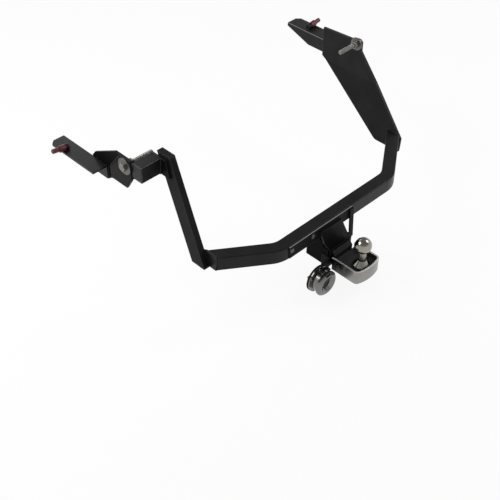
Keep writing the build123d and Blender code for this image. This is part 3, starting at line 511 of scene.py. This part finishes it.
def make_coats():
    """The record's black paint and dark steel, and the coats of single nodes; dark steel and the darker coats
    are painted shade, and lips and folds carry painted highlights.
    """
    # the outrigger's paler edges are mostly a painted highlight
    outrigger = powder_coat("outrigger_coat", paint_dark, paint_pale, paint_roughness, wear_and_highlight=outrigger_edge_wear_and_highlight)
    upright = powder_coat("upright_coat", paint_dark, paint_pale, upright_roughness, upright_gloss)
    tongue = powder_coat("tongue_coat", tongue_plate_dark, tongue_plate_pale, tongue_plate_roughness)
    # the backing plate's coat: painted-shade tones, with a painted highlight on its top lip
    backing = powder_coat("backing_painted_shade_coat", painted_shade_dark, painted_shade_pale, painted_shade_roughness, low_gloss)
    bracket = powder_coat("bracket_coat", paint_dark, paint_pale, paint_roughness)
    return {
        "black_paint": powder_coat("powder_coat", paint_dark, paint_pale, paint_roughness),
        "dark_steel": powder_coat("dark_steel_painted_shade_coat", painted_shade_dark, painted_shade_pale, dark_steel_roughness),
        "outrigger_paint": outrigger,
        "side_paint": powder_coat("side_coat", paint_dark, paint_pale, side_roughness, side_gloss),
        "upright_paint": upright,
        "painted_shade_paint": powder_coat("painted_shade_coat", painted_shade_dark, painted_shade_pale, painted_shade_roughness, low_gloss),
        "gusset_painted_shade_paint": powder_coat("gusset_painted_shade_coat", painted_shade_dark, painted_shade_pale, painted_shade_roughness, gusset_gloss),
        "plate_paint": powder_coat("plate_coat", plate_dark, plate_pale, plate_roughness, low_gloss),
        "tongue_paint": tongue,
        "backing_shade_and_highlight_paint": with_painted_lip_highlight(backing, "backing_plate", backing_lip_highlight),
        # the brackets' folds carry a painted highlight
        "bracket_paint": with_painted_fold_highlight(bracket, fold_highlight),
    }


def make_metals():
    """The record's metals and those of single nodes."""
    skirt = chrome_plate("satin_chrome", skirt_dark, skirt_pale, skirt_haze)
    return {
        "zinc_plate": plated_steel("zinc_plate", zinc, zinc_roughness),
        "dull_zinc": plated_steel("dull_zinc", dull_zinc, dull_zinc_roughness),
        "washer_zinc": plated_steel("washer_zinc", washer_zinc, washer_zinc_roughness),
        "spring_steel": plated_steel("spring_wire", wire_steel, wire_steel_roughness),
        # the tongue shell's top lip carries a painted highlight
        "chrome": with_painted_lip_highlight(skirt, "tongue_shell", chrome_lip_highlight),
        "ball_chrome": polished_ball("ball_chrome"),
        "socket_chrome": lid_chrome_with_painted_reflection("socket_chrome"),
        "brass": turned_brass("turned_brass"),
    }


def make_mouldings():
    """The record's plastics and its rubber."""
    return {
        "red_cover": moulding("red_cover", cover_red, cover_roughness, cover_grain, cover_coat),
        "rubber": moulding("black_rubber", rubber_black, rubber_roughness, rubber_grain),
        "carrier_plastic": moulding("carrier_plastic", carrier_black, carrier_roughness, carrier_grain),
    }


# Nodes whose finish differs from their slot's plain one; the painted-shade coats darken parts that lie in
# shade under the bar and between the outrigger and the upright
own_finish = {
    "drop_plate": "painted_shade_paint", "receiver_tube": "painted_shade_paint", "left_joint_plate": "painted_shade_paint",
    "socket_hanger": "painted_shade_paint", "saddle_plate": "painted_shade_paint", "left_gusset": "gusset_painted_shade_paint",
    "right_gusset": "gusset_painted_shade_paint", "backing_plate": "backing_shade_and_highlight_paint", "left_outer_plate": "plate_paint",
    "tongue_plate": "tongue_paint", "left_bracket": "bracket_paint", "right_bracket": "bracket_paint",
    "left_upright": "upright_paint", "upright_caps": "upright_paint", "right_side_plate": "side_paint",
    "outrigger_tube": "outrigger_paint", "backing_screws": "dull_zinc", "big_washers": "washer_zinc",
    "tow_ball": "ball_chrome", "socket_body": "socket_chrome", "socket_lid": "socket_chrome",
}


def finish_of(node):
    """The finish that a node, or a piece that replaces it, wears."""
    return finishes[own_finish.get(node, slots[node])]


def dress_nodes():
    """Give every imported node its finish."""
    for name, node in nodes.items():
        node.data.materials.clear()
        node.data.materials.append(finish_of(name))


def add_piece(name, mesh, node, *replaced):
    """Put a bmesh in the scene with a node's finish, on the fixed body."""
    bmesh.ops.recalc_face_normals(mesh, faces=mesh.faces)
    data = bpy.data.meshes.new(name)
    mesh.to_mesh(data)
    mesh.free()
    piece = bpy.data.objects.new(name, data)
    bpy.context.collection.objects.link(piece)
    data.materials.append(finish_of(node))
    if replaced:
        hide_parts(*replaced)
    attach(piece, "hitch")


def merged(node):
    """A node's mesh with its split vertices joined."""
    mesh = bmesh.new()
    mesh.from_mesh(nodes[node].data)
    bmesh.ops.remove_doubles(mesh, verts=mesh.verts, dist=merge_distance)
    return mesh


def solid_boxes(node):
    """(lowest corner, highest corner) of each solid of a node."""
    mesh = merged(node)
    seen = set()
    boxes = []
    for first in mesh.verts:
        if first in seen:
            continue
        seen.add(first)
        group = [first]
        for vertex in group:
            for edge in vertex.link_edges:
                other = edge.other_vert(vertex)
                if other not in seen:
                    seen.add(other)
                    group.append(other)
        low = Vector([min(v.co[i] for v in group) for i in range(3)])
        high = Vector([max(v.co[i] for v in group) for i in range(3)])
        boxes.append((low, high))
    mesh.free()
    return boxes


def placed_along(origin, direction):
    """A placement with its Z along a direction."""
    turn = Vector(direction).to_track_quat("Z", "Y").to_matrix().to_4x4()
    return Matrix.Translation(origin) @ turn


def point_round(radius, angle, height):
    """The point at a radius, an angle and a height round the Z axis."""
    return Vector((radius * math.cos(angle), radius * math.sin(angle), height))


def skin(mesh, loops, smooth=False, joined=False):
    """Faces from each ring of points to the next; the ends are closed, or joined to each other."""
    following = loops[1:] + loops[:1] if joined else loops[1:]
    for low, high in zip(loops, following):
        for i in range(len(low)):
            j = (i + 1) % len(low)
            face = mesh.faces.new((low[i], low[j], high[j], high[i]))
            face.smooth = smooth
    if not joined:
        mesh.faces.new(loops[0])
        mesh.faces.new(loops[-1])


def lathe(mesh, place, rings, steps, smooth=False, joined=False):
    """A turned form. Each ring is a function of the angle that gives (radius, height)."""
    loops = []
    for ring in rings:
        loop = []
        for i in range(steps):
            angle = 2 * math.pi * i / steps
            radius, height = ring(angle)
            loop.append(mesh.verts.new(place @ point_round(radius, angle, height)))
        loops.append(loop)
    skin(mesh, loops, smooth, joined)


def hexagon_radius(angle, across):
    """How far a hexagon's side is from its middle at an angle."""
    turned = (angle % (math.pi / 3)) - math.pi / 6
    return across / 2 / math.cos(turned)


def hexagon_rings(across, height, both_ends):
    """Rings of a hexagon from its seat up, its corners cut back by a cone."""
    flat = hexagon_face_share * across / 2
    slope = math.tan(corner_cut_angle)

    def cut(angle):
        return (hexagon_radius(angle, across) - flat) * slope

    rings = []
    if both_ends:
        rings.append(lambda angle: (flat, 0.0))
        rings.append(lambda angle: (hexagon_radius(angle, across), cut(angle)))
    else:
        rings.append(lambda angle: (hexagon_radius(angle, across), 0.0))
    rings.append(lambda angle: (hexagon_radius(angle, across), height - cut(angle)))
    rings.append(lambda angle: (flat, height))
    return rings


def thread_rings(radius, length, pitch):
    """Rings of a threaded rod from 0 to its length, with a screw thread and a cut-back tip."""
    depth = thread_depth_share * pitch
    steps = max(2, round(length / pitch * rings_per_turn))

    def at(height):
        def ring(angle):
            turn = (height / pitch - angle / (2 * math.pi)) % 1.0
            from_crest = abs(2 * turn - 1) - thread_crest_share
            valley = min(1.0, max(0.0, from_crest / thread_flank_share))
            tip = max(0.0, height - (length - depth))
            return radius - max(depth * valley, tip), height
        return ring

    return [at(length * step / steps) for step in range(steps + 1)]


def add_bolts(name, node, across, head_height, radius, pitch, outward):
    """Hexagon bolts with screw threads in place of a node's plain ones; outward gives a bolt's head side."""
    mesh = bmesh.new()
    for low, high in solid_boxes(node):
        middle = (low + high) / 2
        way = outward(middle)
        reach = abs((high - low).dot(way)) / 2
        seat = middle + way * (reach - head_height)
        shank = 2 * reach - head_height
        lathe(mesh, placed_along(seat, way), hexagon_rings(across, head_height, False), head_steps)
        lathe(mesh, placed_along(seat, -way), thread_rings(radius, shank, pitch), shank_steps, smooth=True)
    add_piece(name, mesh, node, node)


def add_nuts(name, node, across, radius, way):
    """Hexagon nuts with both ends cut back, in place of a node's plain ones."""
    mesh = bmesh.new()
    lead = nut_lead_share * across
    for low, high in solid_boxes(node):
        middle = (low + high) / 2
        height = abs((high - low).dot(way))
        rings = [lambda angle: (radius, lead), lambda angle: (radius + lead, 0.0)]
        rings += hexagon_rings(across, height, True)
        rings += [lambda angle: (radius + lead, height), lambda angle: (radius, height - lead)]
        lathe(mesh, placed_along(middle - way * height / 2, way), rings, head_steps, joined=True)
    add_piece(name, mesh, node, node)


def add_split_washers(name, node, way):
    """Spring washers with their slot, in place of a node's plain rings."""
    mesh = bmesh.new()
    inner = washer_bore[node]
    for low, high in solid_boxes(node):
        half = abs((high - low).dot(way)) / 2
        outer = max(high - low) / 2
        place = placed_along((low + high) / 2, way)
        corners = ((inner, -half), (outer, -half), (outer, half), (inner, half))
        loops = []
        for step in range(washer_steps + 1):
            angle = washer_slot / 2 + (2 * math.pi - washer_slot) * step / washer_steps
            points = [point_round(radius, angle, height) for radius, height in corners]
            loops.append([mesh.verts.new(place @ point) for point in points])
        skin(mesh, loops)
    add_piece(name, mesh, node, node)


def add_fasteners():
    """Every visible bolt, nut and spring washer, with the detail that its plain solid leaves out."""
    left_right = Vector((1.0, 0.0, 0.0))
    rearward = Vector((0.0, -1.0, 0.0))
    down = Vector((0.0, 0.0, -1.0))
    add_bolts("side_bolts", "long_bolts", bolt_across, bolt_head_height, bolt_radius, bolt_pitch,
              lambda middle: left_right * math.copysign(1.0, middle.x))
    add_bolts("plate_screws", "backing_screws", small_bolt_across, small_bolt_head_height, small_bolt_radius,
              small_bolt_pitch, lambda middle: rearward)
    add_bolts("under_screws", "drawbar_screws", drawbar_screw_across, drawbar_screw_head_height,
              drawbar_screw_radius, drawbar_screw_pitch, lambda middle: down)
    add_nuts("side_nuts", "long_bolt_nuts", bolt_across, bolt_radius, left_right)
    add_nuts("ball_nut_cut", "ball_nut", ball_nut_across, ball_shank_radius, down)
    add_nuts("socket_nuts_cut", "socket_nuts", tiny_nut_across, tiny_screw_radius, rearward)
    add_split_washers("side_spring_washers", "lock_washers", left_right)
    add_split_washers("ball_spring_washer", "ball_lock_washer", down)


def contact_runs(node, other_tree):
    """Stretches of a node's sharp edges that lie on another node's surface, as pairs of ends."""
    mesh = merged(node)
    runs = []
    for edge in mesh.edges:
        if len(edge.link_faces) != 2 or edge.calc_face_angle(0.0) < sharp_angle:
            continue
        start, end = (vertex.co.copy() for vertex in edge.verts)
        count = max(2, math.ceil((end - start).length / contact_step))
        touching = []
        for step in range(count + 1):
            point = start.lerp(end, step / count)
            distance = other_tree.find_nearest(point)[3]
            touching.append(point if distance is not None and distance < contact_gap else None)
        run = []
        for point in touching + [None]:
            if point is not None:
                run.append(point)
                continue
            if len(run) > 1:
                runs.append((run[0], run[-1]))
            run = []
    mesh.free()
    return runs


def grows(path, run):
    """Add a run to the end of a path that it meets, and tell whether it met one."""
    for near, far in (run, run[::-1]):
        if (path[-1] - near).length < join_gap:
            path.append(far)
            return True
        if (path[0] - near).length < join_gap:
            path.insert(0, far)
            return True
    return False


def chained(runs):
    """Runs that meet end to end, joined into longer paths."""
    paths = []
    left = list(runs)
    while left:
        path = list(left.pop())
        while True:
            added = next((run for run in left if grows(path, run)), None)
            if added is None:
                break
            left.remove(added)
        paths.append(path)
    return paths


def path_length(path):
    """Length of a path of points."""
    return sum((b - a).length for a, b in zip(path, path[1:]))


def walked(path, step):
    """Points every step along a path."""
    points = [path[0].copy()]
    left = step
    for a, b in zip(path, path[1:]):
        length = (b - a).length
        done = 0.0
        while length - done >= left:
            done += left
            points.append(a.lerp(b, done / length))
            left = step
        left -= length - done
    return points


def open_to_air(point, everything):
    """Whether a point near a corner can be seen from outside."""
    ways = [Vector((x, y, z)) for x in (-1, 0, 1) for y in (-1, 0, 1) for z in (-1, 0, 1)]
    for way in ways:
        if way.length == 0:
            continue
        way.normalize()
        start = point + way * air_start
        if everything.ray_cast(start, way, air_reach)[0] is None:
            near = everything.ray_cast(start, -way, air_start)
            if near[0] is None or near[1].dot(way) > 0:
                return True
    return False


def add_bead(mesh, points, randomly):
    """A rippled bead along a row of points, thinner at its ends."""
    loops = []
    side = None
    last = len(points) - 1
    for number, point in enumerate(points):
        along = (points[min(number + 1, last)] - points[max(number - 1, 0)]).normalized()
        if side is None:
            side = along.orthogonal().normalized()
        side = (side - along * side.dot(along)).normalized()
        up = along.cross(side)
        ripple = abs(math.sin(math.pi * number * bead_step / bead_ripple))
        swell = 1.0 + bead_swell * ripple + bead_chance * randomly.uniform(-1, 1)
        radius = bead_radius * swell * min(1.0, bead_end + bead_growth * min(number, last - number))
        loop = []
        for i in range(bead_sides):
            angle = 2 * math.pi * i / bead_sides
            offset = side * math.cos(angle) + up * math.sin(angle)
            loop.append(mesh.verts.new(point + offset * radius))
        loops.append(loop)
    skin(mesh, loops, smooth=True)


def surface_trees():
    """A search tree for each node's surface, and one for all of them together."""
    trees = {}
    whole = bmesh.new()
    for name, node in nodes.items():
        single = bmesh.new()
        single.from_mesh(node.data)
        trees[name] = BVHTree.FromBMesh(single)
        single.free()
        whole.from_mesh(node.data)
    everything = BVHTree.FromBMesh(whole)
    whole.free()
    return trees, everything


def add_welds():
    """Weld beads where the edges of one plate or tube lie on another."""
    trees, everything = surface_trees()
    randomly = random.Random(weld_seed)
    for node, other in welded_pairs:
        mesh = bmesh.new()
        for path in chained(contact_runs(node, trees[other])):
            points = walked(path, bead_step)
            if path_length(path) >= shortest_bead and open_to_air(points[len(points) // 2], everything):
                add_bead(mesh, points, randomly)
        if mesh.verts:
            add_piece("weld_" + node + "_on_" + other, mesh, node)
        else:
            mesh.free()
            print("no weld found between", node, "and", other)


def white_rays(tree):
    """1 where the camera, a glossy ray or a transmission ray looks, and 0 for the light itself."""
    path = tree.nodes.new("ShaderNodeLightPath")
    share = path.outputs["Is Camera Ray"]
    for name in ("Is Glossy Ray", "Is Transmission Ray"):
        share = calculated(tree, "MAXIMUM", share, path.outputs[name])
    return share


def make_floor():
    """A pale floor under the object, mostly white to the camera, that keeps the object's shadow."""
    bpy.ops.mesh.primitive_plane_add(size=floor_size, location=(0, 0, cad_box[0][2] - floor_gap))
    floor = bpy.context.object
    floor.name = "floor"
    material, tree, shader = new_material("pale_floor")
    tone = tuple(value * floor_shade for value in floor_colour)
    clouds = clouded(tree, scale=2.0, detail=2.0, dark=tone, pale=floor_colour, start=0.4, end=0.6)
    tree.links.new(clouds, shader.inputs["Base Color"])
    shader.inputs["Roughness"].default_value = floor_roughness
    shader.inputs["Specular IOR Level"].default_value = floor_gloss
    glow = tree.nodes.new("ShaderNodeEmission")
    glow.inputs["Color"].default_value = (1.0, 1.0, 1.0, 1.0)
    glow.inputs["Strength"].default_value = 1.0
    joined = tree.nodes.new("ShaderNodeMixShader")
    tree.links.new(calculated(tree, "MULTIPLY", white_rays(tree), floor_white_share), joined.inputs[0])
    tree.links.new(shader.outputs[0], joined.inputs[1])
    tree.links.new(glow.outputs[0], joined.inputs[2])
    output = [node for node in tree.nodes if node.type == "OUTPUT_MATERIAL"][0]
    tree.links.new(joined.outputs[0], output.inputs["Surface"])
    floor.data.materials.append(material)


def make_room():
    """A pale room with white walls and a greyer ceiling."""
    world = bpy.data.worlds.new("room")
    bpy.context.scene.world = world
    world.use_nodes = True
    tree = world.node_tree
    tree.nodes.clear()
    out = tree.nodes.new("ShaderNodeOutputWorld")
    light = tree.nodes.new("ShaderNodeBackground")
    direction = tree.nodes.new("ShaderNodeTexCoord").outputs["Generated"]
    tree.links.new(ramp(tree, split(tree, direction)["Z"], room_stops), light.inputs["Color"])
    light.inputs["Strength"].default_value = room_strength
    tree.links.new(light.outputs[0], out.inputs["Surface"])


def add_lamp(name, place, size, power):
    """A square soft lamp that faces the object's middle."""
    data = bpy.data.lights.new(name, "AREA")
    data.size = size
    data.energy = power
    lamp = bpy.data.objects.new(name, data)
    bpy.context.collection.objects.link(lamp)
    lamp.location = place
    aim = Vector(scene_middle) - Vector(place)
    lamp.rotation_euler = aim.to_track_quat("-Z", "Y").to_euler()


def make_lights():
    """The key lamp over the left front, a smaller one over the right and a weak one from the front."""
    add_lamp("key_lamp", key_place, key_size, key_power)
    add_lamp("side_lamp", side_place, side_size, side_power)
    add_lamp("rim_lamp", rim_place, rim_size, rim_power)


def make_camera():
    """The photograph's camera."""
    data = bpy.data.cameras.new("camera")
    data.lens = camera_lens
    data.sensor_width = camera_sensor
    camera = bpy.data.objects.new("camera", data)
    bpy.context.collection.objects.link(camera)
    camera.location = camera_place
    camera.rotation_euler = (math.radians(90 - camera_elevation), 0.0, math.radians(camera_azimuth))
    bpy.context.scene.camera = camera


finishes = {**make_coats(), **make_metals(), **make_mouldings()}
dress_nodes()
add_fasteners()
add_welds()
make_floor()
make_room()
make_lights()
make_camera()
bpy.context.scene.view_settings.view_transform = "Standard"
